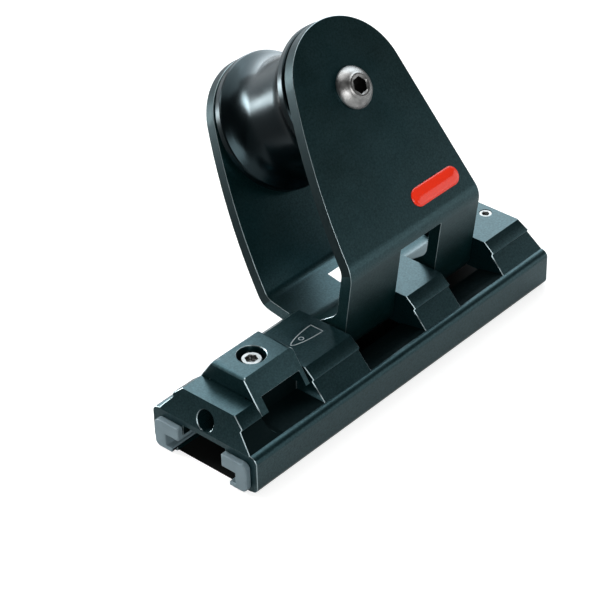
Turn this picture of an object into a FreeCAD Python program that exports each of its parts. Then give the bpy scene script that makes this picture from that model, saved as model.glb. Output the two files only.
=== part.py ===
import FreeCAD, Part
import math
import os
import Sketcher

# Genoa car for a T-track: a machined body that slides on the track, an extruded
# sheave frame that leans from side to side on a long hinge pin, and a lift-up
# spring stop at the front. X runs along the track with the stop at the low end,
# Z is up, and the origin is at the middle of the body's underside.

SIZES = {
    # body section: half width, heights, and insets and drops from them
    "body_half": 24.0,
    "ridge_inset": 12.0,
    "ridge_height": 25.7,
    "shoulder_inset": 8.0,
    "shoulder_drop": 3.4,
    "step_inset": 8.5,
    "step_drop": 4.5,
    "ledge_width": 3.0,
    "ledge_height": 15.0,
    "ledge_round": 2.8,
    "foot_round": 2.8,
    "end_slant": 3.0,
    # slot for the track, and the liners in it
    "track_width": 32.0,
    "track_thickness": 4.5,
    "track_play": 0.15,
    "liner_wall": 1.6,
    "liner_foot": 0.8,
    "lip_thickness": 1.5,
    "lip_half": 13.2,
    "recess_half": 9.8,
    "roof_height": 12.7,
    "end_cap": 2.5,
    "cap_inset": 2.8,
    "cap_height": 12.1,
    "cap_foot": 0.6,
    "cap_round": 2.4,
    # lengths along the body, from its front end to its rear end
    "front_block": 12.2,
    "knob_gap": 25.8,
    "block_one": 24.3,
    "cut_one": 30.4,
    "block_two": 19.8,
    "cut_two": 25.5,
    "rear_block": 23.5,
    "gap_round_clearance": 1.2,
    "core_half": 8.0,
    # hinge
    "pivot_drop": 0.3,
    "pin_diameter": 7.5,
    "pin_play": 0.05,
    "pin_setback": 1.0,
    "pin_wall": 4.0,
    "pin_end_gap": 0.3,
    "pin_bevel": 0.5,
    "lean_angle": 36.0,
    "lock_screw_inset": 7.3,
    "lock_screw_diameter": 5.0,
    "lock_screw_key": 2.5,
    "lock_screw_key_depth": 1.6,
    "lock_screw_sink": 0.2,
    # sheave frame
    "wall": 4.6,
    "frame_half": 26.4,
    "frame_slope": 46.5,
    "hinge_radius": 7.0,
    "channel_floor": 6.2,
    "channel_round": 6.0,
    "stop_gap": 0.3,
    "fold_round": 5.0,
    "frame_gap": 2.1,
    "window_gap": 1.35,
    "window_drop": 2.2,
    "axle_shift": 1.35,
    "axle_rise": 73.0,
    "dome_radius": 26.2,
    "front_bow": 245.0,
    # sheave and axle
    "rim_radius": 26.4,
    "rim_width": 3.1,
    "rim_bevel": 0.4,
    "drum_radius": 20.8,
    "flare_length": 5.5,
    "flare_blend": 12.0,
    "sheave_gap": 0.3,
    "washer_thickness": 1.0,
    "washer_diameter": 22.0,
    "bush_diameter": 18.0,
    "bush_length": 12.0,
    "axle_diameter": 12.0,
    "axle_screw_diameter": 8.0,
    "axle_screw_length": 16.0,
    "button_diameter": 16.0,
    "button_height": 4.4,
    "button_round": 3.6,
    "button_key": 5.6,
    "button_key_depth": 2.6,
    # spring stop
    "stop_shift": 0.4,
    "knob_gap_front": 0.4,
    "knob_gap_rear": 1.0,
    "knob_gap_side": 0.3,
    "knob_top_half": 7.35,
    "knob_rise": 7.4,
    "skirt_half": 15.3,
    "skirt_drop": 4.4,
    "knob_bevel": 0.8,
    "plunger_diameter": 7.8,
    "plunger_tip": 2.0,
    "plunger_bevel": 0.6,
    "stem_diameter": 6.4,
    "collar_thickness": 1.2,
    "collar_play": 0.3,
    "chamber_diameter": 12.8,
    "chamber_floor": 13.9,
    "guide_diameter": 10.6,
    "guide_bottom": 9.5,
    "guide_flange": 0.8,
    "retainer_thickness": 1.5,
    "spring_wire": 0.7,
    "spring_turns": 2.6,
    "spring_play": 0.15,
    "stop_screw_diameter": 4.0,
    "stop_screw_length": 8.0,
    "stop_head_diameter": 7.2,
    "stop_head_height": 2.8,
    "stop_key": 4.0,
    "stop_key_depth": 1.7,
    "recess_diameter": 10.4,
    "recess_depth": 4.4,
    "turn_play": 0.05,
}

document = FreeCAD.newDocument("genoa_car")
sheet = document.addObject("Spreadsheet::Sheet", "Sizes")
for row, (alias, value) in enumerate(SIZES.items(), 1):
    sheet.set(f"A{row}", str(value))
    sheet.setAlias(f"A{row}", alias)
document.recompute()


class Term:
    """A length or angle: the text that binds it to the sheet, and its number now."""

    def __init__(self, text, number):
        self.text = text
        self.number = number

    def _with(self, other, sign, number):
        return Term(f"({self.text} {sign} {term(other).text})", number)

    def __add__(self, other):
        return self._with(other, "+", self.number + term(other).number)

    def __sub__(self, other):
        return self._with(other, "-", self.number - term(other).number)

    def __mul__(self, other):
        return self._with(other, "*", self.number * term(other).number)

    def __truediv__(self, other):
        return self._with(other, "/", self.number / term(other).number)

    def __neg__(self):
        return self * -1


def term(value):
    return value if isinstance(value, Term) else Term(f"({value})", float(value))


def size(alias):
    return Term(f"Sizes.{alias}", float(sheet.get(alias)))


def sine(angle):
    return Term(f"sin({angle.text})", math.sin(math.radians(angle.number)))


def cosine(angle):
    return Term(f"cos({angle.text})", math.cos(math.radians(angle.number)))


def bind(thing, prop, value):
    thing.setExpression(prop, term(value).text)


def body(label):
    new = document.addObject("PartDesign::Body", label)
    new.Label = label
    return new


def sketch(owner, plane, name, offset=0):
    """A sketch on one of the body's own origin planes, or parallel to it."""
    new = owner.newObject("Sketcher::SketchObject", name)
    support = [f for f in owner.Origin.OriginFeatures if f.Role == plane][0]
    new.AttachmentSupport = [(support, "")]
    new.MapMode = "FlatFace"
    bind(new, "AttachmentOffset.Base.z", offset)
    return new


def pin_point(drawing, edge, end, across, up):
    """Fix one end of an edge of a sketch at a bound place."""
    for kind, value, axis in (("DistanceX", across, -2), ("DistanceY", up, -1)):
        if value is None:
            continue
        value = term(value)
        if value.number == 0 and "Sizes" not in value.text:
            drawing.addConstraint(Sketcher.Constraint("PointOnObject", edge, end, axis))
            continue
        index = drawing.addConstraint(
            Sketcher.Constraint(kind, -1, 1, edge, end, value.number))
        name = f"place{index}"
        drawing.renameConstraint(index, name)
        bind(drawing, f"Constraints.{name}", value)


def vector(across, up):
    return FreeCAD.Vector(term(across).number, term(up).number, 0)


def outline(drawing, points):
    """A closed outline of straight edges through bound points."""
    first = drawing.GeometryCount
    count = len(points)
    for i in range(count):
        line = Part.LineSegment(vector(*points[i]), vector(*points[(i + 1) % count]))
        drawing.addGeometry(line, False)
    for i in range(count):
        following = first + (i + 1) % count
        drawing.addConstraint(Sketcher.Constraint("Coincident", first + i, 2, following, 1))
    for i, (across, up) in enumerate(points):
        pin_point(drawing, first + i, 1, across, up)


def circle(drawing, across, up, diameter):
    radius = term(diameter) / 2
    shape = Part.Circle(vector(across, up), FreeCAD.Vector(0, 0, 1), radius.number)
    index = drawing.addGeometry(shape, False)
    pin_point(drawing, index, 3, across, up)
    held = drawing.addConstraint(Sketcher.Constraint("Radius", index, radius.number))
    name = f"radius{held}"
    drawing.renameConstraint(held, name)
    bind(drawing, f"Constraints.{name}", radius)


def hexagon(drawing, across, up, key):
    """A hexagonal socket, by the size of its key across flats."""
    reach = term(key) / math.sqrt(3)
    corners = []
    for i in range(6):
        angle = math.radians(60 * i)
        corners.append((term(across) + reach * round(math.cos(angle), 6),
                        term(up) + reach * round(math.sin(angle), 6)))
    outline(drawing, corners)


def mirrored(points):
    """An outline given by its right half, from bottom to top, closed on its left."""
    return points + [(-term(across), up) for across, up in reversed(points)]


def pad(owner, drawing, name, length, symmetric=False, back=False):
    new = owner.newObject("PartDesign::Pad", name)
    new.Profile = drawing
    new.SideType = "Symmetric" if symmetric else "One side"
    new.Reversed = back
    bind(new, "Length", length)
    return new


def pocket(owner, drawing, name, length=None, symmetric=False, back=False):
    """A cut of a bound depth, or through everything where none is given."""
    new = owner.newObject("PartDesign::Pocket", name)
    new.Profile = drawing
    new.SideType = "Symmetric" if symmetric else "One side"
    new.Reversed = back
    if length is None:
        new.Type = "ThroughAll"
    else:
        bind(new, "Length", length)
    return new


def revolve(owner, drawing, name, axis):
    new = owner.newObject("PartDesign::Revolution", name)
    new.Profile = drawing
    new.ReferenceAxis = (drawing, [axis])
    new.Angle = 360
    return new


def dress(owner, base, kind, name, amount, picks):
    """A fillet or chamfer on the edges whose middles the test picks."""
    document.recompute()
    edges = []
    for i, edge in enumerate(base.Shape.Edges, 1):
        middle = edge.valueAt((edge.FirstParameter + edge.LastParameter) / 2)
        if picks(edge, middle):
            edges.append(f"Edge{i}")
    if not edges:
        raise ValueError(f"{name} finds no edge")
    new = owner.newObject(f"PartDesign::{kind}", name)
    new.Base = (base, edges)
    bind(new, "Radius" if kind == "Fillet" else "Size", amount)
    return new


def near(value, place, slack=0.01):
    return abs(value - term(place).number) < slack


def along(edge, axis):
    """Whether an edge is a straight line along one axis."""
    if edge.Curve.TypeId != "Part::GeomLine":
        return False
    return abs(abs(edge.Curve.Direction.dot(axis)) - 1) < 1e-6


ALONG_X = FreeCAD.Vector(1, 0, 0)
ALONG_Y = FreeCAD.Vector(0, 1, 0)
ALONG_Z = FreeCAD.Vector(0, 0, 1)


def turned(label, axis, points):
    """A turned piece from its half section, as (radius, distance along the axis)."""
    owner = body(label)
    plane = "XZ_Plane" if axis == "Z" else "XY_Plane"
    drawing = sketch(owner, plane, f"{label}_section")
    if axis == "X":
        points = [(place, radius) for radius, place in points]
    outline(drawing, points)
    revolve(owner, drawing, f"{label}_turning", "H_Axis" if axis == "X" else "V_Axis")
    return owner


def place_on_pivot(owner, across=0, up=0):
    """Put a piece of the leaning frame at a point of the frame's own upright axes."""
    lean = size("lean_angle")
    owner.Placement.Rotation = FreeCAD.Rotation(ALONG_X, -lean.number)
    bind(owner, "Placement.Rotation.Angle", -lean)
    bind(owner, "Placement.Base.x", across)
    bind(owner, "Placement.Base.y", term(up) * sine(lean))
    bind(owner, "Placement.Base.z", pivot_height + term(up) * cosine(lean))


def place_upright(owner, across, up=0):
    bind(owner, "Placement.Base.x", across)
    bind(owner, "Placement.Base.z", up)


# Values that several pieces share

body_length = size("front_block")
for part_of_length in ("knob_gap", "block_one", "cut_one", "block_two", "cut_two", "rear_block"):
    body_length = body_length + size(part_of_length)
half_length = body_length / 2
gap_front = -half_length + size("front_block")
gap_rear = gap_front + size("knob_gap")
cut_one_front = gap_rear + size("block_one")
cut_one_rear = cut_one_front + size("cut_one")
cut_two_front = cut_one_rear + size("block_two")
cut_two_rear = cut_two_front + size("cut_two")
pin_front = gap_rear + size("pin_setback")
pin_rear = half_length - size("pin_wall")
pivot_height = (size("roof_height") + size("ridge_height")) / 2 - size("pivot_drop")
bore_diameter = size("pin_diameter") + size("pin_play") * 2
beyond_side = size("body_half") * 2
beyond_top = size("ridge_height") * 2
flange_half = size("track_width") / 2 + size("track_play")
flange_bottom = size("lip_thickness") + size("liner_foot")
flange_top = flange_bottom + size("track_thickness") + size("track_play")
slot_half = flange_half + size("liner_wall")
slot_top = flange_top + size("liner_wall")
frame_inner = size("frame_half") - size("wall")
washer_face = frame_inner - size("washer_thickness")
sheave_half = washer_face - size("sheave_gap")
frame_front = cut_one_front + size("frame_gap")
frame_rear = cut_two_rear - size("frame_gap")
window_front = cut_one_rear - size("window_gap")
window_rear = cut_two_front + size("window_gap")
axle_x = (window_front + window_rear) / 2 + size("axle_shift")
stop_x = (gap_front + gap_rear) / 2 - size("stop_shift")


# Body: one machined extrusion, open below for the track

def make_body():
    owner = body("carriage_base")
    step_height = size("ridge_height") - size("step_drop")
    section = sketch(owner, "YZ_Plane", "body_section")
    outline(section, mirrored([
        (size("recess_half"), size("roof_height")),
        (size("recess_half"), slot_top),
        (slot_half, slot_top),
        (slot_half, size("lip_thickness")),
        (size("lip_half"), size("lip_thickness")),
        (size("lip_half"), 0),
        (size("body_half"), 0),
        (size("body_half"), size("ledge_height")),
        (size("body_half") - size("ledge_width"), size("ledge_height")),
        (size("body_half") - size("step_inset"), step_height),
        (size("body_half") - size("shoulder_inset"), size("ridge_height") - size("shoulder_drop")),
        (size("body_half") - size("ridge_inset"), size("ridge_height")),
    ]))
    shape = pad(owner, section, "extrusion", body_length, symmetric=True)
    shape = dress(owner, shape, "Fillet", "ledge_rounds", size("ledge_round"),
                  lambda edge, m: along(edge, ALONG_X) and near(abs(m.y), size("body_half"))
                  and near(m.z, size("ledge_height")))
    shape = dress(owner, shape, "Fillet", "foot_rounds", size("foot_round"),
                  lambda edge, m: along(edge, ALONG_X) and near(abs(m.y), size("body_half"))
                  and near(m.z, 0))

    # both ends lean back above the ledge
    ends = sketch(owner, "XZ_Plane", "end_slants")
    above = beyond_top - size("ledge_height")
    for side in (1, -1):
        outline(ends, [
            (half_length * side, size("ledge_height")),
            ((half_length + size("end_slant")) * side, size("ledge_height")),
            ((half_length + size("end_slant")) * side, above),
            ((half_length - size("end_slant") * 2) * side, above),
        ])
    pocket(owner, ends, "end_cuts", symmetric=True)

    # finger gaps on both sides of a narrow core, under the knob
    gap = sketch(owner, "YZ_Plane", "gap_section", gap_rear)
    for side in (1, -1):
        outline(gap, [
            (size("core_half") * side, size("ledge_height")),
            (beyond_side * side, size("ledge_height")),
            (beyond_side * side, beyond_top),
            (size("core_half") * side, beyond_top),
        ])
    shape = pocket(owner, gap, "finger_gaps", size("knob_gap"))
    gap_round = step_height - size("ledge_height") - size("gap_round_clearance")
    dress(owner, shape, "Fillet", "gap_rounds", gap_round,
          lambda edge, m: along(edge, ALONG_Y) and near(m.x, gap_front)
          and near(m.z, size("ledge_height")) and abs(m.y) > size("core_half").number)

    # two cuts for the frame, with floors that stop it where it leans furthest
    rest = size("frame_slope") - size("lean_angle")
    reach = size("hinge_radius") + size("stop_gap")
    slot = size("recess_half")
    floor_in = pivot_height - (reach - slot * sine(rest)) / cosine(rest)
    floor_out = (reach - (pivot_height - size("ledge_height")) * cosine(rest)) / sine(rest)
    for name, rear in (("cut_one", cut_one_rear), ("cut_two", cut_two_rear)):
        cut = sketch(owner, "YZ_Plane", f"{name}_section", rear)
        outline(cut, mirrored([
            (slot, -1),
            (slot, floor_in),
            (floor_out, size("ledge_height")),
            (beyond_side, size("ledge_height")),
            (beyond_side, beyond_top),
        ]))
        pocket(owner, cut, name, size(name))

    # the pin's bore, from the front end to a blind end behind the pin
    bore_end = pin_rear + size("pin_end_gap")
    bore = sketch(owner, "YZ_Plane", "bore_circle", bore_end)
    circle(bore, 0, pivot_height, bore_diameter)
    pocket(owner, bore, "pin_bore", bore_end + half_length)

    # the chamber of the stop, its guide's seat, and the lock screw's thread
    chamber = sketch(owner, "XY_Plane", "chamber_circle", size("ridge_height"))
    circle(chamber, stop_x, 0, size("chamber_diameter"))
    pocket(owner, chamber, "stop_chamber", size("ridge_height") - size("chamber_floor"))
    seat = sketch(owner, "XY_Plane", "guide_circle", size("chamber_floor"))
    circle(seat, stop_x, 0, size("guide_diameter"))
    pocket(owner, seat, "guide_seat", size("chamber_floor") - slot_top)
    lock = sketch(owner, "XY_Plane", "lock_circle", size("ridge_height"))
    circle(lock, half_length - size("lock_screw_inset"), 0, size("lock_screw_diameter"))
    pocket(owner, lock, "lock_thread", size("ridge_height") - pivot_height)
    return owner


def make_liner(label, side):
    """A C-shaped slide liner with a raised cap at each end of the body."""
    owner = body(label)
    gap = size("track_play")
    inner = size("recess_half") + gap
    foot_half = size("lip_half") + gap
    section = sketch(owner, "YZ_Plane", f"{label}_section")
    outline(section, [(across * side, up) for across, up in (
        (inner, flange_top), (inner, slot_top), (slot_half, slot_top),
        (slot_half, size("lip_thickness")), (foot_half, size("lip_thickness")),
        (foot_half, flange_bottom), (flange_half, flange_bottom), (flange_half, flange_top))])
    pad(owner, section, f"{label}_channel", body_length, symmetric=True)
    cap_half = size("body_half") - size("cap_inset")
    cap_points = [(across * side, up) for across, up in (
        (inner, flange_top), (inner, size("cap_height")), (cap_half, size("cap_height")),
        (cap_half, size("cap_foot")), (foot_half, size("cap_foot")),
        (foot_half, flange_bottom), (flange_half, flange_bottom), (flange_half, flange_top))]
    for end, back in ((1, False), (-1, True)):
        cap = sketch(owner, "YZ_Plane", f"{label}_cap{end}", half_length * end)
        outline(cap, cap_points)
        shape = pad(owner, cap, f"{label}_end{end}", size("end_cap"), back=back)
    dress(owner, shape, "Fillet", f"{label}_rounds", size("cap_round"),
          lambda edge, m: along(edge, ALONG_X) and near(abs(m.y), cap_half))
    return owner


# Hinge pin and its lock screw

def make_pin():
    radius = size("pin_diameter") / 2
    owner = turned("hinge_pin", "X", [
        (0, pin_front), (radius, pin_front), (radius, pin_rear), (0, pin_rear)])
    place_upright(owner, 0, pivot_height)
    dress(owner, owner.Tip, "Chamfer", "pin_bevels", size("pin_bevel"), lambda edge, m: True)
    return owner


def make_lock_screw():
    radius = size("lock_screw_diameter") / 2
    bottom = pivot_height + size("pin_diameter") / 2
    top = size("ridge_height") - size("lock_screw_sink")
    owner = turned("pin_lock_screw", "Z", [(0, bottom), (radius, bottom), (radius, top), (0, top)])
    socket = sketch(owner, "XY_Plane", "lock_socket", top)
    hexagon(socket, 0, 0, size("lock_screw_key"))
    pocket(owner, socket, "lock_key", size("lock_screw_key_depth"))
    place_upright(owner, half_length - size("lock_screw_inset"))
    return owner


# Spring stop: plunger, spring, guide and retainer in the core, knob on top

def make_stop():
    plunger = size("plunger_diameter") / 2
    stem = size("stem_diameter") / 2
    chamber = size("chamber_diameter") / 2
    play = size("turn_play")
    gap = size("spring_play")
    guide_top = size("chamber_floor") + size("guide_flange")
    collar_bottom = guide_top + play
    collar_top = collar_bottom + size("collar_thickness")
    retainer_bottom = size("ridge_height") - size("retainer_thickness")
    knob_floor = size("ridge_height") + size("knob_gap_side")

    guide = turned("stop_guide", "Z", [
        (plunger + play, size("guide_bottom")),
        (size("guide_diameter") / 2, size("guide_bottom")),
        (size("guide_diameter") / 2, size("chamber_floor")),
        (chamber, size("chamber_floor")), (chamber, guide_top), (plunger + play, guide_top)])
    retainer = turned("stop_retainer", "Z", [
        (stem + play, retainer_bottom), (chamber, retainer_bottom),
        (chamber, size("ridge_height")), (stem + play, size("ridge_height"))])
    thread = size("stop_screw_diameter") / 2
    knob_top = size("ridge_height") + size("knob_rise")
    seat = knob_top - size("recess_depth")
    thread_bottom = seat - size("stop_screw_length")
    tip = size("plunger_tip")
    bevel = size("plunger_bevel")
    collar = chamber - size("collar_play")
    rod = turned("stop_plunger", "Z", [
        (0, tip), (plunger - bevel, tip), (plunger, tip + bevel), (plunger, collar_bottom),
        (collar, collar_bottom), (collar, collar_top),
        (stem, collar_top), (stem, knob_floor), (thread, knob_floor),
        (thread, thread_bottom), (0, thread_bottom)])

    knob = body("stop_knob")
    front = gap_front + size("knob_gap_front")
    rear = gap_rear - size("knob_gap_rear")
    inner = size("core_half") + size("knob_gap_side")
    skirt_bottom = size("ridge_height") - size("skirt_drop")
    section = sketch(knob, "YZ_Plane", "knob_section", front)
    outline(section, mirrored([
        (inner, knob_floor), (inner, skirt_bottom), (size("skirt_half"), skirt_bottom),
        (size("knob_top_half"), knob_top)]))
    shape = pad(knob, section, "knob_block", rear - front)
    dress(knob, shape, "Chamfer", "knob_bevels", size("knob_bevel"),
          lambda edge, m: along(edge, ALONG_Y) and near(m.z, knob_top))
    recess = sketch(knob, "XY_Plane", "knob_recess", knob_top)
    circle(recess, stop_x, 0, size("recess_diameter"))
    pocket(knob, recess, "screw_recess", size("recess_depth"))
    hole = sketch(knob, "XY_Plane", "knob_hole", knob_top)
    circle(hole, stop_x, 0, size("stop_screw_diameter"))
    pocket(knob, hole, "screw_hole", knob_top - knob_floor)

    head = size("stop_head_diameter") / 2
    screw_top = seat + size("stop_head_height")
    screw = turned("stop_screw", "Z", [
        (0, thread_bottom), (thread, thread_bottom), (thread, seat), (head, seat),
        (head, screw_top), (0, screw_top)])
    socket = sketch(screw, "XY_Plane", "stop_socket", screw_top)
    hexagon(socket, 0, 0, size("stop_key"))
    pocket(screw, socket, "stop_key_socket", size("stop_key_depth"))

    for piece in (guide, retainer, rod, screw):
        place_upright(piece, stop_x)
    spring = make_spring(collar_top + gap, retainer_bottom - gap)
    return [guide, retainer, rod, knob, screw, spring]


def make_spring(bottom, top):
    """A coil spring round the plunger's stem, between the collar and the retainer."""
    wire = size("spring_wire").number / 2
    coil = (size("stem_diameter").number / 2 + size("chamber_diameter").number / 2) / 2
    low = bottom.number + wire
    rise = top.number - wire - low
    pitch = rise / size("spring_turns").number
    path = Part.makeHelix(pitch, rise, coil)
    start = path.Edges[0].valueAt(path.Edges[0].FirstParameter)
    tangent = path.Edges[0].tangentAt(path.Edges[0].FirstParameter)
    ring = Part.Wire(Part.makeCircle(wire, start, tangent))
    new = document.addObject("Part::Feature", "stop_spring")
    new.Label = "stop_spring"
    new.Shape = Part.Wire(path).makePipeShell([ring], True, True)
    new.Placement = FreeCAD.Placement(
        FreeCAD.Vector(stop_x.number, 0, low), FreeCAD.Rotation())
    return new


# Sheave frame: one extruded channel with a hinge barrel along its foot

def make_frame():
    owner = body("sheave_frame")
    slope = size("frame_slope")
    barrel = size("hinge_radius")
    floor = size("channel_floor")
    top = size("axle_rise") + size("dome_radius") + size("wall")

    def knee(half, reach):
        """Height at which a sloping face, at its distance from the pin, meets a cheek."""
        return (half * sine(slope) - reach) / cosine(slope)

    inner_reach = barrel - size("wall")
    floor_half = (floor * cosine(slope) + inner_reach) / sine(slope)
    fold_out = knee(size("frame_half"), barrel)
    fold_in = knee(frame_inner, inner_reach)
    foot = -(barrel / cosine(slope))
    section = sketch(owner, "YZ_Plane", "frame_section", frame_front)
    outline(section, [
        (0, foot), (size("frame_half"), fold_out), (size("frame_half"), top),
        (frame_inner, top), (frame_inner, fold_in), (floor_half, floor),
        (-floor_half, floor), (-frame_inner, fold_in), (-frame_inner, top),
        (-size("frame_half"), top), (-size("frame_half"), fold_out)])
    shape = pad(owner, section, "channel", frame_rear - frame_front)
    rounds = (("barrel_round", barrel, 0, foot),
              ("floor_rounds", size("channel_round"), floor_half, floor),
              ("outer_folds", size("fold_round") + size("wall"), size("frame_half"), fold_out),
              ("inner_folds", size("fold_round"), frame_inner, fold_in))
    for name, radius, across, up in rounds:
        shape = dress(owner, shape, "Fillet", name, radius,
                      lambda edge, m: along(edge, ALONG_X) and near(abs(m.y), across)
                      and near(m.z, up))

    cheeks = sketch(owner, "XZ_Plane", "cheek_outline")
    cheek_outline(cheeks, fold_out, top)
    pocket(owner, cheeks, "cheek_trim", symmetric=True)

    window = sketch(owner, "XZ_Plane", "window_outline")
    window_top = fold_out - size("window_drop")
    below = -(barrel * 2)
    outline(window, [
        (window_front, below), (window_rear, below),
        (window_rear, window_top), (window_front, window_top)])
    pocket(owner, window, "window", symmetric=True)
    bore = sketch(owner, "YZ_Plane", "hinge_circle", frame_rear)
    circle(bore, 0, 0, bore_diameter)
    pocket(owner, bore, "hinge_bore", frame_rear - frame_front)
    hole = sketch(owner, "XZ_Plane", "axle_hole_circle")
    circle(hole, axle_x, size("axle_rise"), size("axle_screw_diameter") + size("turn_play") * 2)
    pocket(owner, hole, "axle_holes", symmetric=True)
    place_on_pivot(owner)
    return owner


def rear_touch(corner, centre, radius):
    """Where a straight edge from a corner behind the dome touches it."""
    reach = corner - centre
    spread = math.atan2(reach.x, -reach.y) - math.asin(radius / reach.Length)
    return centre + FreeCAD.Vector(radius * math.cos(spread), radius * math.sin(spread), 0)


def front_touch(corner, centre, radius, bow):
    """Where a bowed edge from a corner before the dome runs into it, and a point half way."""
    reach = centre - corner
    along_reach = (bow**2 - (bow - radius)**2 + reach.Length**2) / (2 * reach.Length)
    off_reach = math.sqrt(bow**2 - along_reach**2)
    forward = FreeCAD.Vector(reach).normalize()
    aside = FreeCAD.Vector(forward.y, -forward.x, 0)
    bow_centre = corner + forward * along_reach + aside * off_reach
    touch = centre + (centre - bow_centre).normalize() * radius
    middle = ((touch + corner) / 2 - bow_centre).normalize() * bow + bow_centre
    return touch, middle


def cheek_outline(drawing, fold, top):
    """The cheeks seen from the side: a dome over the axle, bowed in front, straight behind."""
    front, rear = frame_front, frame_rear
    radius, bow = size("dome_radius"), size("front_bow")
    below = -(size("hinge_radius") * 3)
    margin = size("wall") * 2
    outline(drawing, [(front - margin, below), (rear + margin, below),
                      (rear + margin, top + margin), (front - margin, top + margin)])
    below = -(size("hinge_radius") * 2)
    centre = vector(axle_x, size("axle_rise"))
    crown = centre + FreeCAD.Vector(0, radius.number, 0)
    front_corner, rear_corner = vector(front, fold), vector(rear, fold)
    behind = rear_touch(rear_corner, centre, radius.number)
    before, middle = front_touch(front_corner, centre, radius.number, bow.number)
    first = drawing.GeometryCount
    drawing.addGeometry([
        Part.LineSegment(vector(front, below), vector(rear, below)),
        Part.LineSegment(vector(rear, below), rear_corner),
        Part.LineSegment(rear_corner, behind),
        Part.Arc(behind, crown, before),
        Part.Arc(before, middle, front_corner),
        Part.LineSegment(front_corner, vector(front, below))], False)
    for i in (0, 1, 4):
        drawing.addConstraint(Sketcher.Constraint("Coincident", first + i, 2, first + i + 1, 1))
    drawing.addConstraint(Sketcher.Constraint("Coincident", first + 5, 2, first, 1))
    drawing.addConstraint(Sketcher.Constraint("Tangent", first + 2, 2, first + 3, 1))
    drawing.addConstraint(Sketcher.Constraint("Tangent", first + 3, 2, first + 4, 1))
    pin_point(drawing, first, 1, front, below)
    pin_point(drawing, first + 1, 1, rear, below)
    pin_point(drawing, first + 2, 1, rear, fold)
    pin_point(drawing, first + 5, 1, front, fold)
    pin_point(drawing, first + 3, 3, axle_x, size("axle_rise"))
    for name, edge, value in (("dome", first + 3, radius), ("bow", first + 4, bow)):
        held = drawing.addConstraint(Sketcher.Constraint("Radius", edge, value.number))
        drawing.renameConstraint(held, name)
        bind(drawing, f"Constraints.{name}", value)


# Axle: a spacer tube, a button screw at each end and thrust washers

def make_axle():
    tube = size("axle_diameter") / 2
    thread = size("axle_screw_diameter") / 2
    pieces = [turned("axle_tube", "Y", [
        (thread, -frame_inner), (tube, -frame_inner), (tube, frame_inner), (thread, frame_inner)])]
    for word, side in (("near", -1), ("far", 1)):
        washer = size("washer_diameter") / 2
        play = tube + size("turn_play")
        pieces.append(turned(f"thrust_washer_{word}", "Y", [
            (play, washer_face * side), (washer, washer_face * side),
            (washer, frame_inner * side), (play, frame_inner * side)]))
        pieces.append(make_button_screw(f"axle_screw_{word}", side))
    for piece in pieces:
        place_on_pivot(piece, axle_x, size("axle_rise"))
    return pieces


def make_button_screw(label, side):
    thread = size("axle_screw_diameter") / 2
    seat = size("frame_half")
    crown = seat + size("button_height")
    head = size("button_diameter") / 2
    tip = seat - size("axle_screw_length")
    owner = turned(label, "Y", [
        (0, tip * side), (thread, tip * side), (thread, seat * side), (head, seat * side),
        (head, crown * side), (0, crown * side)])
    dress(owner, owner.Tip, "Fillet", f"{label}_dome", size("button_round"),
          lambda edge, m: edge.Curve.TypeId == "Part::GeomCircle" and near(abs(m.y), crown)
          and near(edge.Curve.Radius, head))
    socket = sketch(owner, "XZ_Plane", f"{label}_socket", crown * -side)
    hexagon(socket, 0, 0, size("button_key"))
    pocket(owner, socket, f"{label}_key", size("button_key_depth"), back=side > 0)
    return owner


# Sheave: a wide drum that flares to a rim at each end, on two bushes

def make_sheave():
    rim = size("rim_radius")
    waist = size("drum_radius")
    hub = size("bush_diameter") / 2
    groove_half = sheave_half - size("rim_width")
    waist_half = groove_half - size("flare_length")
    drum = turned("sheave_drum", "Y", [
        (hub, -sheave_half), (rim, -sheave_half), (rim, -groove_half), (waist, -waist_half),
        (waist, waist_half), (rim, groove_half), (rim, sheave_half), (hub, sheave_half)])

    def ring(edge, radius, half):
        return (edge.Curve.TypeId == "Part::GeomCircle" and near(edge.Curve.Radius, radius)
                and near(abs(edge.Curve.Center.y), half))

    shape = dress(drum, drum.Tip, "Fillet", "flare_blends", size("flare_blend"),
                  lambda edge, m: ring(edge, waist, waist_half))
    dress(drum, shape, "Chamfer", "rim_bevels", size("rim_bevel"),
          lambda edge, m: ring(edge, rim, sheave_half) or ring(edge, rim, groove_half))
    pieces = [drum]
    for word, side in (("near", -1), ("far", 1)):
        bore = size("axle_diameter") / 2 + size("turn_play")
        inner = (sheave_half - size("bush_length")) * side
        outer = sheave_half * side
        pieces.append(turned(f"sheave_bush_{word}", "Y", [
            (bore, inner), (hub, inner), (hub, outer), (bore, outer)]))
    for piece in pieces:
        place_on_pivot(piece, axle_x, size("axle_rise"))
    return pieces


nodes = [make_body(), make_liner("slide_liner_near", -1), make_liner("slide_liner_far", 1),
         make_pin(), make_lock_screw(), *make_stop(), make_frame(), *make_axle(), *make_sheave()]
document.recompute()

for item in document.Objects:
    if "Invalid" in item.State or "Error" in item.State:
        raise ValueError(f"{item.Name} is {item.State}")
for node in nodes:
    if node.Shape.isNull() or not node.Shape.isValid():
        raise ValueError(f"{node.Label} has no valid shape")

os.makedirs("parts", exist_ok=True)
for node in nodes:
    node.Shape.exportStep(f"parts/{node.Label}.step")
    box = node.Shape.BoundBox
    print(f"{node.Label:22s} solids {len(node.Shape.Solids)} volume {node.Shape.Volume:9.1f} "
          f"x {box.XMin:7.2f} {box.XMax:7.2f} y {box.YMin:7.2f} {box.YMax:7.2f} "
          f"z {box.ZMin:7.2f} {box.ZMax:7.2f}")
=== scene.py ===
import math

import bmesh
import bpy
from mathutils import Matrix, Vector


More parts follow.
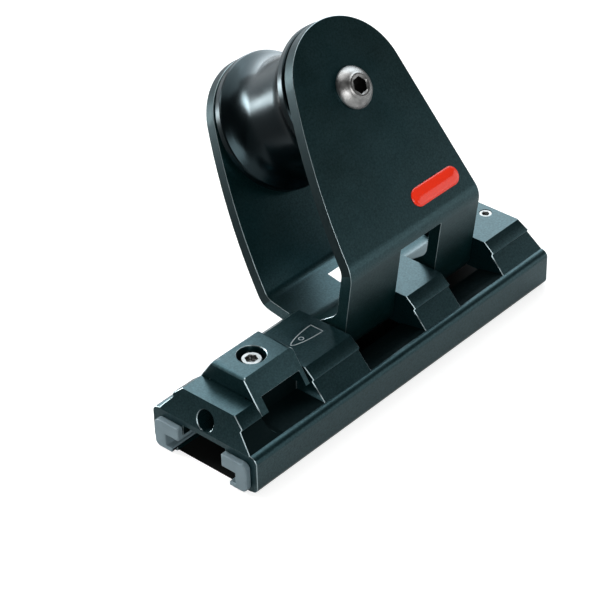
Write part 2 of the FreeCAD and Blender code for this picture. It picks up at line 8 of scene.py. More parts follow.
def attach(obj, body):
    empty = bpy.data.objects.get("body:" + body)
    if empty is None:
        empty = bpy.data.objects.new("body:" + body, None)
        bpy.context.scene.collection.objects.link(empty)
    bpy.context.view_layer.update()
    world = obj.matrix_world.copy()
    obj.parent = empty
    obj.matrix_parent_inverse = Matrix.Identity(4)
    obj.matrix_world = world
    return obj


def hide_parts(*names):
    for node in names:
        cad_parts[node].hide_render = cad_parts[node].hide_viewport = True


# Looks of a sheet lead car for T-track. Lengths are in millimetres unless a name
# or comment says metres, and MM turns them to metres.

MM = 0.001

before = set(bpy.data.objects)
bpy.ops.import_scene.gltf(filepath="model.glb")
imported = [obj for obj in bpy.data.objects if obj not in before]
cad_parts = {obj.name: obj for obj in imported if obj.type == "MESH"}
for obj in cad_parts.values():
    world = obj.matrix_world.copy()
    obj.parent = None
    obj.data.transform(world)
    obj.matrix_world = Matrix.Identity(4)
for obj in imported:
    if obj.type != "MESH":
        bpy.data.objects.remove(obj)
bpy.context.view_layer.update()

# Measures of the car that the looks below follow

LEAN = math.radians(36.0)
PIVOT_HEIGHT = 18.9
FRAME_HALF = 26.4
CHEEK_WALL = 4.6
RIDGE_TOP = 25.7
LEDGE_TOP = 15.0
BLOCK_HALF = 21.0
# the gap under the stop and the two cuts for the frame, from front to rear
CUTS = ((-68.55, -42.75), (-18.45, 11.95), (31.75, 57.25))
# ends of the knob's finger notches, and their top, level with the knob's underside
NOTCH_ENDS = (-64.7, -45.8)
NOTCH_TOP = RIDGE_TOP + 0.3
AXLE_X, AXLE_RISE = 23.2, 73.0


# Colours and shader nodes

def srgb(code, alpha=1.0):
    """A colour written as sRGB hex, as the linear numbers that shaders want."""
    linear = []
    for start in (1, 3, 5):
        value = int(code[start:start + 2], 16) / 255
        linear.append(value / 12.92 if value <= 0.04045 else ((value + 0.055) / 1.055) ** 2.4)
    return (*linear, alpha)


def add(tree, kind, settings=None, inputs=None, links=None):
    """One shader node, with its settings, its plain inputs, and its links from other nodes."""
    node = tree.nodes.new(kind)
    for name, value in (settings or {}).items():
        setattr(node, name, value)
    for name, value in (inputs or {}).items():
        node.inputs[name].default_value = value
    for name, (source, output) in (links or {}).items():
        tree.links.new(source.outputs[output], node.inputs[name])
    return node


def join(tree, source, output, target, socket):
    """A link from a node's output to a socket of another node."""
    tree.links.new(source.outputs[output], target.inputs[socket])


def blank_material(name):
    """A material that holds only a Principled shader joined to its output."""
    made = bpy.data.materials.new(name)
    made.use_nodes = True
    tree = made.node_tree
    tree.nodes.clear()
    shader = add(tree, "ShaderNodeBsdfPrincipled")
    add(tree, "ShaderNodeOutputMaterial", links={"Surface": (shader, "BSDF")})
    return made, tree, shader


def set_plain(shader, **values):
    """Uniform values, straight on the shader's own sockets."""
    for name, value in values.items():
        shader.inputs[name.replace("_", " ")].default_value = value


def cells_per_metre(size_mm):
    """The scale of a noise whose features are this many millimetres wide."""
    return 1 / (size_mm * MM)


# most of a noise lies between these values, so they are what is stretched to a full range
NOISE_LOW, NOISE_HIGH = 0.3, 0.7


def mottle(tree, size_mm, low, high, detail=3.0):
    """Soft blotches of a real size, between two values."""
    place = add(tree, "ShaderNodeTexCoord")
    noise = add(tree, "ShaderNodeTexNoise",
                inputs={"Scale": cells_per_metre(size_mm), "Detail": detail},
                links={"Vector": (place, "Object")})
    return add(tree, "ShaderNodeMapRange",
               inputs={"From Min": NOISE_LOW, "From Max": NOISE_HIGH,
                       "To Min": low, "To Max": high},
               links={"Value": (noise, "Fac")})


def vary(tree, shader, socket, size_mm, low, high, detail=3.0):
    """Drives a socket of the shader between two values, in blotches of a real size."""
    blotches = mottle(tree, size_mm, low, high, detail)
    join(tree, blotches, "Result", shader, socket)


def cloud(tree, shader, size_mm, first, second, detail=3.0):
    """A base colour that drifts between two hex colours, in blotches of a real size."""
    blotches = mottle(tree, size_mm, 0.0, 1.0, detail)
    colour = add(tree, "ShaderNodeMix", {"data_type": "RGBA"},
                 {"A": srgb(first), "B": srgb(second)}, {"Factor": (blotches, 0)})
    join(tree, colour, "Result", shader, "Base Color")


def grain(tree, shader, size_mm, height_mm, stretch=(1, 1, 1), detail=2.0):
    """A fine relief of a real grain size, stretched along an axis where the tool ran."""
    place = add(tree, "ShaderNodeTexCoord")
    turned = add(tree, "ShaderNodeMapping", inputs={"Scale": stretch},
                 links={"Vector": (place, "Object")})
    noise = add(tree, "ShaderNodeTexNoise",
                inputs={"Scale": cells_per_metre(size_mm), "Detail": detail},
                links={"Vector": (turned, "Vector")})
    relief = add(tree, "ShaderNodeBump", inputs={"Strength": 1.0, "Distance": height_mm * MM},
                 links={"Height": (noise, "Fac")})
    join(tree, relief, "Normal", shader, "Normal")


# Materials

FILM_TINT = srgb("#abecf9")


def pitted_film(tree, shader):
    """The dyed oxide film: a satin dielectric whose shine is broken by etching pits."""
    set_plain(shader, Metallic=0.0, IOR=1.65, Specular_Tint=FILM_TINT)
    vary(tree, shader, "Specular IOR Level", 0.7, 0.36, 0.64, detail=4.0)


def make_anodised_extrusion():
    """Hard anodised aluminium extrusion. Its dyed film is a satin dielectric over etched
    metal, so faces that mirror the sweep go grey, and the die has drawn faint lines along X."""
    made, tree, shader = blank_material("anodised_extrusion")
    cloud(tree, shader, 18.0, "#021113", "#041618")
    vary(tree, shader, "Roughness", 6.0, 0.28, 0.35)
    pitted_film(tree, shader)
    grain(tree, shader, 0.6, 0.02, stretch=(0.1, 1, 1), detail=4.0)
    return made


def make_anodised_frame():
    """The frame's extrusion, machined to shape and anodised: the same film on an even grain."""
    made, tree, shader = blank_material("anodised_frame_extrusion")
    cloud(tree, shader, 30.0, "#02100f", "#041a1c")
    vary(tree, shader, "Roughness", 9.0, 0.28, 0.34)
    pitted_film(tree, shader)
    grain(tree, shader, 0.7, 0.02, detail=4.0)
    return made


def make_milled_shaded_edge():
    """The frame's milled outline: cutter marks leave its film rougher than the drawn sides, and
    its darker colour and weaker shine are painted shade that keeps these edges dark.
    """
    made, tree, shader = blank_material("milled_edge_painted_shade")
    vary(tree, shader, "Roughness", 1.2, 0.36, 0.46)
    set_plain(shader, Base_Color=srgb("#02090a"), Metallic=0.0, IOR=1.36,
              Specular_Tint=FILM_TINT)
    grain(tree, shader, 0.4, 0.008, stretch=(1, 1, 0.3))
    return made


def make_shaded_cut_floor():
    """Floors left by the end mill between the blocks: a matt film. Its dark colour, and how
    little it mirrors, are painted shade of the deep cuts.
    """
    made, tree, shader = blank_material("cut_floor_painted_shade")
    vary(tree, shader, "Roughness", 1.5, 0.55, 0.7)
    set_plain(shader, Base_Color=srgb("#020a0b"), Metallic=0.0, IOR=1.22,
              Specular_Tint=FILM_TINT)
    grain(tree, shader, 0.5, 0.01, stretch=(1, 0.2, 1))
    return made


def make_broken_edge():
    """Edges broken by a file before anodising: the film is thin there and shows the metal."""
    made, tree, shader = blank_material("broken_anodised_edge")
    set_plain(shader, Base_Color=srgb("#96a6aa"), Metallic=1.0, Roughness=0.42)
    return made


def make_moulded_acetal():
    """Injection moulded grey acetal of the slide liners: soft sheen, slightly cloudy."""
    made, tree, shader = blank_material("moulded_grey_acetal")
    cloud(tree, shader, 5.0, "#64757c", "#6e8087")
    set_plain(shader, Metallic=0.0, IOR=1.48, Roughness=0.42)
    grain(tree, shader, 0.6, 0.006)
    return made


def make_polished_acetal():
    """Black acetal of the sheave, turned and polished: deep black with clear reflections."""
    made, tree, shader = blank_material("polished_black_acetal")
    vary(tree, shader, "Roughness", 8.0, 0.2, 0.27)
    set_plain(shader, Base_Color=srgb("#010304"), Metallic=0.0, IOR=1.45,
              Specular_Tint=srgb("#bfe6f2"))
    return made


def make_natural_acetal():
    """Machined natural acetal of the bushes and washers: a milky, softly shining white."""
    made, tree, shader = blank_material("natural_acetal")
    set_plain(shader, Base_Color=srgb("#dcdad2"), Metallic=0.0, IOR=1.48, Roughness=0.4)
    grain(tree, shader, 0.4, 0.004)
    return made


def make_turned_stainless():
    """Stainless bar, turned and passivated: bright, with a slightly uneven satin."""
    made, tree, shader = blank_material("turned_stainless")
    cloud(tree, shader, 2.5, "#8b8c8b", "#a2a3a2")
    vary(tree, shader, "Roughness", 1.2, 0.22, 0.34)
    set_plain(shader, Metallic=1.0)
    return made


def make_screw_steel():
    """Cold headed and tumbled stainless of the button screws: a soft, uneven grey lustre."""
    made, tree, shader = blank_material("tumbled_screw_steel")
    cloud(tree, shader, 1.8, "#868584", "#a6a6a5", detail=6.0)
    vary(tree, shader, "Roughness", 0.9, 0.32, 0.44)
    set_plain(shader, Metallic=1.0)
    grain(tree, shader, 0.7, 0.01)
    return made


def make_socket_shade():
    """Walls and floor of a screw's socket, painted dark as the shade inside the socket."""
    made, tree, shader = blank_material("socket_painted_shade")
    set_plain(shader, Base_Color=srgb("#2b2a2a"), Metallic=1.0, Roughness=0.5)
    grain(tree, shader, 0.3, 0.01)
    return made


def make_bronze():
    """Turned bearing bronze of the plunger's guide: a warm, even satin."""
    made, tree, shader = blank_material("bearing_bronze")
    set_plain(shader, Base_Color=srgb("#a97f45"), Metallic=1.0, Roughness=0.34)
    return made


def make_resin():
    """Domed red resin on the badge: saturated colour under a clear, glossy skin."""
    made, tree, shader = blank_material("domed_red_resin")
    set_plain(shader, Base_Color=srgb("#f5361d"), Metallic=0.0, IOR=1.5, Roughness=0.12)
    return made


def make_bare_line():
    """Aluminium laid bare by an engraver: fine light lines in the black film."""
    made, tree, shader = blank_material("engraved_bare_aluminium")
    set_plain(shader, Base_Color=srgb("#b9c2c4"), Metallic=1.0, Roughness=0.4)
    return made


EXTRUSION = make_anodised_extrusion()
FRAME_FINISH = make_anodised_frame()
MILLED_SHADED_EDGE = make_milled_shaded_edge()
SHADED_CUT_FLOOR = make_shaded_cut_floor()
BROKEN_EDGE = make_broken_edge()
LINER = make_moulded_acetal()
SHEAVE = make_polished_acetal()
BUSH = make_natural_acetal()
STAINLESS = make_turned_stainless()
SCREW_STEEL = make_screw_steel()
SOCKET_SHADE = make_socket_shade()
BRONZE = make_bronze()
RESIN = make_resin()
BARE = make_bare_line()

FINISHES = {
    "carriage_base": EXTRUSION,
    "slide_liner_near": LINER,
    "slide_liner_far": LINER,
    "hinge_pin": STAINLESS,
    "pin_lock_screw": STAINLESS,
    "stop_guide": BRONZE,
    "stop_retainer": STAINLESS,
    "stop_spring": STAINLESS,
    "stop_plunger": STAINLESS,
    "stop_knob": EXTRUSION,
    "stop_screw": STAINLESS,
    "sheave_frame": FRAME_FINISH,
    "axle_tube": STAINLESS,
    "axle_screw_near": SCREW_STEEL,
    "axle_screw_far": SCREW_STEEL,
    "thrust_washer_near": BUSH,
    "thrust_washer_far": BUSH,
    "sheave_drum": SHEAVE,
    "sheave_bush_near": BUSH,
    "sheave_bush_far": BUSH,
}

for node_name, finish in FINISHES.items():
    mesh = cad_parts[node_name].data
    mesh.materials.clear()
    mesh.materials.append(finish)


# Solids whose sharp edges are broken

SHARP = math.radians(30)
# places this close, in mm, are the same
SAME = 0.002
# a face this small, in square mm, is a wall of a bore and no sawn face
SMALL_FACE = 15.0
# an edge across the car runs along Y for this share of its length; one shorter than
# SHORT_STEP is still part of a sawn outline
STRAIGHT_ACROSS = 0.97
SHORT_STEP = 1.5
# how far the normal of a face points along an axis: below BESIDE the face runs along the
# axis, from CUT_ACROSS it was cut across it, and from SQUARE it is square to it; a round
# at the end of a floor belongs to the wall from WALL_STARTS
BESIDE, CUT_ACROSS, WALL_STARTS, SQUARE = 0.2, 0.3, 0.5, 0.99
# farther from the middle than this, an edge of the knob is clear of its bores
BORE_REACH = 6.0
# the cuts' floors reach this far below the ledge, and their steps this close to the ridge
FLOOR_SINK, STEP_DROP = 1.5, 0.5
# how much a bevel takes off the edges of each kind of piece
BODY_BREAK, FRAME_BREAK, SCREW_BREAK, MOULDED_ROUND = 0.22, 0.25, 0.2, 0.45


def middle_of(face):
    """The middle of a face, in mm."""
    return face.calc_center_median() / MM


def small(face):
    """Whether a face is no larger than a wall of a bore."""
    return face.calc_area() < SMALL_FACE * MM * MM


def sawn(edge):
    """Whether an edge runs round a sawn face, and not straight across its top."""
    run = edge.verts[1].co - edge.verts[0].co
    across = abs(run.y) > STRAIGHT_ACROSS * run.length and run.length > SHORT_STEP * MM
    drawn, cut = sorted(edge.link_faces, key=lambda face: abs(face.normal.x))
    meets_cut = abs(drawn.normal.x) < BESIDE and abs(cut.normal.x) > CUT_ACROSS
    return meets_cut and not across and not small(cut)


def knob_edge(edge):
    """Whether an edge of the knob is bright: of a sawn face, a bore's mouth or a notch's top."""
    middle = (edge.verts[0].co + edge.verts[1].co) / 2 / MM
    if any(abs(middle.x - place) < SAME for place in NOTCH_ENDS):
        return False
    wall, top = sorted(edge.link_faces, key=lambda face: abs(face.normal.z))
    upright, level = abs(wall.normal.z) < 1 - SQUARE, abs(top.normal.z) > SQUARE
    mouth = edge.is_convex and upright and level and small(wall)
    lip = edge.is_convex and abs(middle.z - NOTCH_TOP) < SAME and abs(middle.y) > BORE_REACH
    return mouth or lip or sawn(edge)


def cut_floor(face):
    """Whether a face is a floor that the cutter left between two blocks, which takes the painted
    shade.
    """
    middle = middle_of(face)
    in_cut = any(front - SAME < middle.x < rear + SAME for front, rear in CUTS)
    low_down = LEDGE_TOP - FLOOR_SINK < middle.z < RIDGE_TOP - STEP_DROP
    on_floor = low_down and abs(face.normal.x) < WALL_STARTS
    return in_cut and on_floor and abs(middle.y) < BLOCK_HALF


def cheek_edge(face):
    """Whether a face of the frame lies on the edge of a cheek, between its two sides."""
    middle = middle_of(face)
    across = middle.y * math.cos(LEAN) - (middle.z - PIVOT_HEIGHT) * math.sin(LEAN)
    toward_side = face.normal.y * math.cos(LEAN) - face.normal.z * math.sin(LEAN)
    return abs(toward_side) < BESIDE and FRAME_HALF - CHEEK_WALL < abs(across) < FRAME_HALF


def split(shape, place, normal):
    """Splits the faces of a shape along a plane, given by a point in mm and a normal."""
    bmesh.ops.bisect_plane(shape, geom=[*shape.verts, *shape.edges, *shape.faces],
                           dist=SAME / 2 * MM, plane_co=Vector(place) * MM, plane_no=normal)


def part_ledges(shape):
    """Parts the cuts' floors from the drawn ledges beside them, which run on past the cuts."""
    for side in (-1, 1):
        split(shape, (0, side * BLOCK_HALF, 0), (0, 1, 0))


def cap(shape, ring, axes):
    """A flat face over some points, taken in turn round their middle as two axes see it."""
    middle = sum((vert.co for vert in ring), Vector()) / len(ring)
    first, second = axes
    shape.faces.new(sorted(ring, key=lambda vert: math.atan2(
        vert.co[second] - middle[second], vert.co[first] - middle[first])))


def notch_skirts(shape):
    """Opens a finger notch in both skirts of the knob, with a leg in front and one behind."""
    front, rear = NOTCH_ENDS
    for place in NOTCH_ENDS:
        split(shape, (place, 0, 0), (1, 0, 0))
    split(shape, (0, 0, NOTCH_TOP), (0, 0, 1))
    opened = [face for face in shape.faces
              if front < middle_of(face).x < rear and middle_of(face).z < NOTCH_TOP - SAME]
    bmesh.ops.delete(shape, geom=opened, context="FACES")
    rims = [vert for vert in shape.verts if any(edge.is_boundary for edge in vert.link_edges)]
    for side in (1, -1):
        rim = [vert for vert in rims if vert.co.y * side > 0]
        for place in NOTCH_ENDS:
            cap(shape, [vert for vert in rim if abs(vert.co.x / MM - place) < SAME], (1, 2))
        cap(shape, [vert for vert in rim if abs(vert.co.z / MM - NOTCH_TOP) < SAME], (0, 1))
    bmesh.ops.recalc_face_normals(shape, faces=shape.faces)


def finished_copy(node_name, body, width, segments, edge_material=None, broken=None,
                  inner_material=None, inner=None, reshape=None, clamp=True):
    """A merged copy of a solid with its sharp edges bevelled, which stands for the solid.
    broken picks the edges and inner the faces that get a material of their own."""
    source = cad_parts[node_name].data
    shape = bmesh.new()
    shape.from_mesh(source)
    bmesh.ops.remove_doubles(shape, verts=shape.verts, dist=SAME * MM)
    bmesh.ops.dissolve_limit(shape, angle_limit=math.radians(0.2), verts=shape.verts,
                             edges=shape.edges)
    if reshape:
        reshape(shape)
    weight = shape.edges.layers.float.new("bevel_weight_edge")
    for edge in shape.edges:
        if edge.is_manifold and edge.calc_face_angle() > SHARP:
            edge[weight] = 1.0 if broken is None or broken(edge) else 0.0
    for face in shape.faces:
        face.material_index = 2 if inner and inner(face) else 0
    mesh = bpy.data.meshes.new(f"{node_name}_finished")
    shape.to_mesh(mesh)
    shape.free()
    for material in (source.materials[0], edge_material, inner_material):
        if material:
            mesh.materials.append(material)
    mesh.shade_smooth()
    mesh.set_sharp_from_angle(angle=SHARP)
    piece = bpy.data.objects.new(f"{node_name}_finished", mesh)
    bpy.context.scene.collection.objects.link(piece)
    bevel = piece.modifiers.new("broken_edges", "BEVEL")
    bevel.width = width * MM
    bevel.segments = segments
    bevel.limit_method = "WEIGHT"
    bevel.use_clamp_overlap = clamp
    bevel.material = 1 if edge_material else -1
    flats = piece.modifiers.new("flat_faces", "WEIGHTED_NORMAL")
    flats.weight = 100
    flats.keep_sharp = True
    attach(piece, body)
    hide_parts(node_name)


# The clamp would narrow every bevel to suit the shortest edge, so it is off where the
# bevelled edges leave room, and stays on for the frame, whose window has tight corners.
# the body's cut floors take a material with painted shade
finished_copy("carriage_base", "carriage", BODY_BREAK, 1, BROKEN_EDGE, sawn,
              SHADED_CUT_FLOOR, cut_floor, reshape=part_ledges, clamp=False)
finished_copy("stop_knob", "stop", FRAME_BREAK, 1, BROKEN_EDGE, knob_edge,
              reshape=notch_skirts, clamp=False)
# the edges of the frame's cheeks take a material with painted shade
finished_copy("sheave_frame", "block", FRAME_BREAK, 1, BROKEN_EDGE,
              inner_material=MILLED_SHADED_EDGE, inner=cheek_edge)
for liner in ("slide_liner_near", "slide_liner_far"):
    finished_copy(liner, "carriage", MOULDED_ROUND, 3)
finished_copy("stop_screw", "stop", SCREW_BREAK, 2)
finished_copy("pin_lock_screw", "carriage", SCREW_BREAK, 2)


# Pieces that the solids leave to this script

# points this close, in metres, are welded
WELD = 1e-7


def in_frame(x, y, z):
    """A point given in the frame's own upright axes, leaned over and in metres."""
    across = y * math.cos(LEAN) + z * math.sin(LEAN)
    up = PIVOT_HEIGHT - y * math.sin(LEAN) + z * math.cos(LEAN)
    return Vector((x, across, up)) * MM


def make_piece(name, shape, material, body):
    """Turns a bmesh in metres to a piece that rides on a body."""
    bmesh.ops.recalc_face_normals(shape, faces=shape.faces)
    mesh = bpy.data.meshes.new(name)
    shape.to_mesh(mesh)
    shape.free()
    mesh.materials.append(material)
    piece = bpy.data.objects.new(name, mesh)
    bpy.context.scene.collection.objects.link(piece)
    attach(piece, body)
    return piece


def bridge(shape, lower, upper):
    """A band of faces between two closed rows of as many points."""
    count = len(lower)
    return [shape.faces.new((lower[i], lower[(i + 1) % count], upper[(i + 1) % count], upper[i]))
            for i in range(count)]


def stadium(length, width, steps=12):
    """Points round a slot-shaped plate, centred on the origin."""
    radius = width / 2
    points = []
    for side in (1, -1):
        for i in range(steps + 1):
            turn = math.pi * (i / steps - 0.5)
            points.append((side * (length / 2 - radius + radius * math.cos(turn)),
                           side * radius * math.sin(turn)))
    return points


BADGE_X, BADGE_RISE = 36.6, 28.1
BADGE_LENGTH, BADGE_WIDTH, BADGE_DOME = 25.6, 7.2, 0.9
BADGE_RINGS = 7
# how much of the badge's width the dome takes up, the rest being a thin flat on top
BADGE_ROUND = 0.96


def make_badge():
    """A plain domed badge on the near cheek, low down and toward the rear."""
    shape = bmesh.new()
    rows = []
    for ring in range(BADGE_RINGS):
        climb = ring / (BADGE_RINGS - 1) * math.pi / 2
        inset = BADGE_WIDTH * BADGE_ROUND * (1 - math.cos(climb))
        side = -(FRAME_HALF + BADGE_DOME * math.sin(climb))
        rows.append([shape.verts.new(in_frame(BADGE_X + x, side, BADGE_RISE + z))
                     for x, z in stadium(BADGE_LENGTH - inset, BADGE_WIDTH - inset)])
    for lower, upper in zip(rows, rows[1:]):
        bridge(shape, lower, upper)
    shape.faces.new(rows[-1])
    shape.faces.new(rows[0][::-1])
    bmesh.ops.remove_doubles(shape, verts=shape.verts, dist=WELD)
    badge = make_piece("badge", shape, RESIN, "block")
    badge.data.shade_smooth()


KEY_TURN = math.radians(8)
SCREW_TURNS = 96
SOCKET_KEY = 5.6
SOCKET = "socket"

# Rings of a button screw, from the thread's tip to the socket's floor: radius and how
# far out from the cheek. A ring that says SOCKET follows the key's hexagon.
SCREW_RINGS = [
    (0.0, -16.0), (3.3, -16.0), (4.0, -15.3), (4.0, 0.0), (7.55, 0.0), (7.9, 0.25), (7.9, 0.7),
    (7.7, 1.2), (7.2, 1.9), (6.5, 2.65), (5.75, 3.3), (5.1, 3.75), (4.7, 3.95), (4.55, 4.15),
    (4.4, 4.3), (4.2, 4.36), (3.62, 4.36), (3.5, 4.3), (SOCKET, 3.95), (SOCKET, 1.75), (0.0, 1.3),
]


def socket_radius(turn):
    """How far a hexagon's side is from its centre, in a direction."""
    sixth = math.pi / 3
    return SOCKET_KEY / 2 / math.cos(turn % sixth - sixth / 2)


def make_button_screw(node_name, side):
    """A button screw with a coned head, a raised ring and a hexagon socket."""
    shape = bmesh.new()
    rows = []
    for radius, out in SCREW_RINGS:
        row = []
        for i in range(SCREW_TURNS):
            turn = 2 * math.pi * i / SCREW_TURNS
            reach = socket_radius(turn) if radius == SOCKET else radius
            row.append(shape.verts.new(in_frame(
                AXLE_X + reach * math.cos(turn + KEY_TURN), side * (FRAME_HALF + out),
                AXLE_RISE + reach * math.sin(turn + KEY_TURN))))
        rows.append(row)
    socket_mouth = next(i for i, ring in enumerate(SCREW_RINGS) if ring[0] == SOCKET)
    # faces from the socket's mouth inward take the painted shade
    for level, (lower, upper) in enumerate(zip(rows, rows[1:])):
        for face in bridge(shape, lower, upper):
            face.material_index = 1 if level >= socket_mouth else 0
    bmesh.ops.remove_doubles(shape, verts=shape.verts, dist=WELD)
    screw = make_piece(f"{node_name}_finished", shape, SCREW_STEEL, "block")
    screw.data.materials.append(SOCKET_SHADE)
    screw.data.shade_smooth()
    screw.data.set_sharp_from_angle(angle=SHARP)
    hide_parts(node_name)


LINE_WIDTH, LINE_RISE = 0.35, 0.03
HULL_BOW, HULL_STERN, HULL_HALF = -36.3, -22.7, 2.8
HULL_STEPS = 12
# below 1, the bow is blunter than a sine
HULL_FULLNESS = 0.6
MAST_X, MAST_RADIUS = -30.9, 0.9
MAST_STEPS = 16


def ribbon(shape, points):
    """A thin line with a square section, round a closed row of points on the ridge's top."""
    corners = []
    for i, (x, y) in enumerate(points):
        run = Vector(points[(i + 1) % len(points)]) - Vector(points[i - 1])
        across = Vector((-run.y, run.x)).normalized() * LINE_WIDTH / 2
        corners.append([shape.verts.new(
            Vector((x + sign * across.x, y + sign * across.y, RIDGE_TOP + level)) * MM)
            for sign, level in ((1, 0), (-1, 0), (-1, LINE_RISE), (1, LINE_RISE))])
    for i, here in enumerate(corners):
        bridge(shape, here, corners[(i + 1) % len(corners)])


def make_direction_mark():
    """A small hull outline engraved on the ridge, its bow toward the stop, with a mast ring."""
    near_side = []
    for i in range(HULL_STEPS + 1):
        share = i / HULL_STEPS
        near_side.append((HULL_BOW + (HULL_STERN - HULL_BOW) * share,
                          HULL_HALF * math.sin(share * math.pi / 2) ** HULL_FULLNESS))
    far_side = [(x, -y) for x, y in reversed(near_side[1:])]
    turns = [2 * math.pi * i / MAST_STEPS for i in range(MAST_STEPS)]
    shape = bmesh.new()
    ribbon(shape, near_side + far_side)
    ribbon(shape, [(MAST_X + MAST_RADIUS * math.cos(turn), MAST_RADIUS * math.sin(turn))
                   for turn in turns])
    make_piece("direction_mark", shape, BARE, "carriage")


make_badge()
make_direction_mark()
make_button_screw("axle_screw_near", -1)
make_button_screw("axle_screw_far", 1)


# Floor, lights and camera

# half the floor's width, in metres
FLOOR_REACH = 6.0
# half length and half width of the floor that the body hides, painted dark as shade and seen only
# through its slot
SHADE_UNDER_BODY = (("X", 80.0), ("Y", 19.5))
# gloss sees the floor dim toward the far left, as if a black flag lay there; the
# distances are in metres
FLAG_SIDE = (-0.7, 0.7, 0.0)
FLAG_START, FLAG_END, FLAG_LEVEL = 0.03, 0.13, 0.22
# light that the pale floor gives off, to show white to the camera and fuller in gloss
CAMERA_GLOW, GLOSS_GLOW = 0.72, 0.25
# the room's light on matt surfaces, and in gloss a sweep that is white toward the far
# right and falls off to nearly dark in front
AMBIENT = 0.34
SWEEP_SIDE = Vector((0.55, 0.65, 0.5)).normalized()
SWEEP_START, SWEEP_END, SWEEP_DARK = 0.45, 0.8, 0.03


def mirrored_rays(tree, path):
    """1 for what is seen in gloss or through glass, and 0 for other rays."""
    return add(tree, "ShaderNodeMath", {"operation": "MAXIMUM"},
               links={0: (path, "Is Glossy Ray"), 1: (path, "Is Transmission Ray")})


def blend(tree, factor, output, inputs, links):
    """A number between A and B, by an output of a factor node."""
    return add(tree, "ShaderNodeMix", {"data_type": "FLOAT"}, inputs,
               {"Factor": (factor, output), **links})


def toward(tree, output, direction, levels):
    """How far a place lies in a direction, mapped smoothly between two levels."""
    place = add(tree, "ShaderNodeTexCoord")
    along = add(tree, "ShaderNodeVectorMath", {"operation": "DOT_PRODUCT"},
                {1: direction}, {0: (place, output)})
    return add(tree, "ShaderNodeMapRange", {"interpolation_type": "SMOOTHSTEP"},
               levels, {"Value": (along, "Value")})


def clear_of_painted_shade(tree):
    """1 on the open floor, and 0 on the part that the body hides, where shade is painted."""
    place = add(tree, "ShaderNodeTexCoord")
    apart = add(tree, "ShaderNodeSeparateXYZ", links={"Vector": (place, "Object")})
    beyond = []
    for axis, half in SHADE_UNDER_BODY:
        reach = add(tree, "ShaderNodeMath", {"operation": "ABSOLUTE"}, links={0: (apart, axis)})
        beyond.append((add(tree, "ShaderNodeMath", {"operation": "GREATER_THAN"},
                           {1: half * MM}, {0: (reach, 0)}), 0))
    return add(tree, "ShaderNodeMath", {"operation": "MAXIMUM"},
               links={0: beyond[0], 1: beyond[1]})


def make_floor_paint():
    """Matt pale paint that shows white to the camera but keeps the object's shadow. Under the
    body it has painted shade, dark and without glow, and it can't be seen from below."""
    made, tree, shader = blank_material("pale_floor")
    path = add(tree, "ShaderNodeLightPath")
    mirrored = mirrored_rays(tree, path)
    flag = toward(tree, "Object", FLAG_SIDE, {
        "From Min": FLAG_START, "From Max": FLAG_END, "To Min": 1.0, "To Max": FLAG_LEVEL})
    shown = blend(tree, mirrored, 0, {"A": 1.0}, {"B": (flag, "Result")})
    pale = add(tree, "ShaderNodeMath", {"operation": "MULTIPLY"},
               links={0: (clear_of_painted_shade(tree), 0), 1: (shown, 0)})
    # the dark colour is the painted shade under the body, the pale one the open floor
    colour = add(tree, "ShaderNodeMix", {"data_type": "RGBA"},
                 {"A": srgb("#050808"), "B": srgb("#bcbcbb")}, {"Factor": (pale, 0)})
    join(tree, colour, "Result", shader, "Base Color")
    to_camera = blend(tree, path, "Is Camera Ray", {"A": 0.0, "B": CAMERA_GLOW}, {})
    glow = blend(tree, mirrored, 0, {"B": GLOSS_GLOW}, {"A": (to_camera, "Result")})
    strength = add(tree, "ShaderNodeMath", {"operation": "MULTIPLY"},
                   links={0: (glow, 0), 1: (pale, 0)})
    join(tree, strength, "Value", shader, "Emission Strength")
    set_plain(shader, Roughness=0.9, IOR=1.3, Emission_Color=(1, 1, 1, 1))
    side = add(tree, "ShaderNodeNewGeometry")
    unseen = add(tree, "ShaderNodeBsdfTransparent")
    from_above = add(tree, "ShaderNodeMixShader",
                     links={0: (side, "Backfacing"), 1: (shader, "BSDF"), 2: (unseen, "BSDF")})
    output = next(node for node in tree.nodes if node.type == "OUTPUT_MATERIAL")
    join(tree, from_above, "Shader", output, "Surface")
    return made


def make_floor():
    """A wide plain floor."""
    shape = bmesh.new()
    bmesh.ops.create_grid(shape, x_segments=1, y_segments=1, size=FLOOR_REACH)
    mesh = bpy.data.meshes.new("floor")
    shape.to_mesh(mesh)
    shape.free()
    mesh.materials.append(make_floor_paint())
    floor = bpy.data.objects.new("floor", mesh)
    bpy.context.scene.collection.objects.link(floor)


def make_world():
    """White behind the object, for the camera and in reflections, and dim toward the front."""
    world = bpy.data.worlds.new("studio")
    bpy.context.scene.world = world
    world.use_nodes = True
    tree = world.node_tree
    tree.nodes.clear()
    sweep = toward(tree, "Generated", SWEEP_SIDE, {
        "From Min": SWEEP_START, "From Max": SWEEP_END, "To Min": SWEEP_DARK, "To Max": 1.0})
    path = add(tree, "ShaderNodeLightPath")
    ambient = blend(tree, mirrored_rays(tree, path), 0, {"A": AMBIENT}, {"B": (sweep, "Result")})
    level = blend(tree, path, "Is Camera Ray", {"B": 1.0}, {"A": (ambient, "Result")})
    background = add(tree, "ShaderNodeBackground", inputs={"Color": (1, 1, 1, 1)},
                     links={"Strength": (level, "Result")})
    add(tree, "ShaderNodeOutputWorld", links={"Surface": (background, "Background")})


def softbox(name, place, target, width, height, radiance, spread=180.0, tint="#ffffff"):
    """An area lamp of this size in metres, aimed at a point, given by how bright it looks."""
    lamp = bpy.data.lights.new(name, "AREA")
    lamp.shape = "RECTANGLE"
    lamp.size, lamp.size_y = width, height
    lamp.energy = radiance * math.pi * width * height
    lamp.spread = math.radians(spread)
    lamp.color = srgb(tint)[:3]
    holder = bpy.data.objects.new(name, lamp)
    bpy.context.scene.collection.objects.link(holder)
    away = (Vector(place) - Vector(target)).normalized()
    turn = away.to_track_quat("Z", "Y").to_matrix().to_4x4()
    holder.matrix_world = Matrix.Translation(place) @ turn


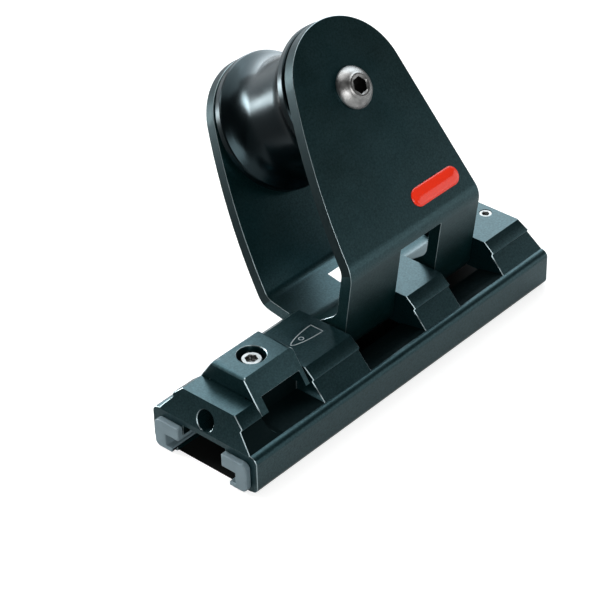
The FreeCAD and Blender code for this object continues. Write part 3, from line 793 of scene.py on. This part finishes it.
# The photograph's camera, fitted to the car's corners. Pixels are those of the photograph.
CAMERA_TARGET = Vector((-2.5, 0.0, 0.75)) * MM
CAMERA_AZIMUTH = math.radians(-47.6912)
CAMERA_ELEVATION = math.radians(34.8227)
CAMERA_ROLL = math.radians(-1.5454)
CAMERA_DISTANCE = 805.676 * MM
FOCAL_PIXELS = 2238.371
IMAGE_CENTRE = 300.0
TARGET_PIXEL = (354.841, 359.222)
SENSOR = 36.0


def make_camera():
    """The photograph's view: a long lens from the front left, above."""
    azimuth, elevation, roll = CAMERA_AZIMUTH, CAMERA_ELEVATION, CAMERA_ROLL
    back = Vector((math.sin(azimuth) * math.cos(elevation),
                   -math.cos(azimuth) * math.cos(elevation), math.sin(elevation)))
    level = Vector((math.cos(azimuth), math.sin(azimuth), 0.0))
    upright = back.cross(level)
    right = math.cos(roll) * level + math.sin(roll) * upright
    up = math.cos(roll) * upright - math.sin(roll) * level
    per_pixel = CAMERA_DISTANCE / FOCAL_PIXELS
    place = (CAMERA_TARGET + back * CAMERA_DISTANCE
             - right * (TARGET_PIXEL[0] - IMAGE_CENTRE) * per_pixel
             + up * (TARGET_PIXEL[1] - IMAGE_CENTRE) * per_pixel)
    lens = bpy.data.cameras.new("camera")
    lens.sensor_width = SENSOR
    lens.lens = SENSOR * FOCAL_PIXELS / (2 * IMAGE_CENTRE)
    lens.clip_start, lens.clip_end = 0.01, 30.0
    camera = bpy.data.objects.new("camera", lens)
    bpy.context.scene.collection.objects.link(camera)
    camera.matrix_world = Matrix.Translation(place) @ Matrix(
        (right, up, back)).transposed().to_4x4()
    bpy.context.scene.camera = camera


make_floor()
make_world()

# Lamps in metres: the back and horizon boxes give the top faces their sheen, the strip
# the drum's highlight, and the front and side boxes light what faces the camera.
softbox("back_softbox", (0.66, 0.6, 0.56), (0.0, 0.0, 0.02), 1.1, 1.1, 2.6, tint="#e6f4fc")
softbox("horizon_softbox", (0.45, 0.85, 0.26), (0.0, 0.04, 0.1), 1.5, 0.45, 0.7, tint="#e6f4fc")
softbox("strip_softbox", (-0.21, 0.48, 0.2), (0.0, 0.04, 0.09), 0.14, 0.36, 3.6, spread=60.0)
softbox("front_softbox", (-0.66, -0.64, 0.34), (0.0, 0.0, 0.05), 0.55, 0.5, 4.9)
softbox("side_softbox", (0.5, -0.46, 0.115), (0.04, 0.0, 0.03), 0.66, 0.3, 1.2)
softbox("top_softbox", (0.1, 0.35, 1.1), (0.0, 0.0, 0.02), 0.9, 0.7, 1.6)
make_camera()

bpy.context.scene.view_settings.view_transform = "Standard"
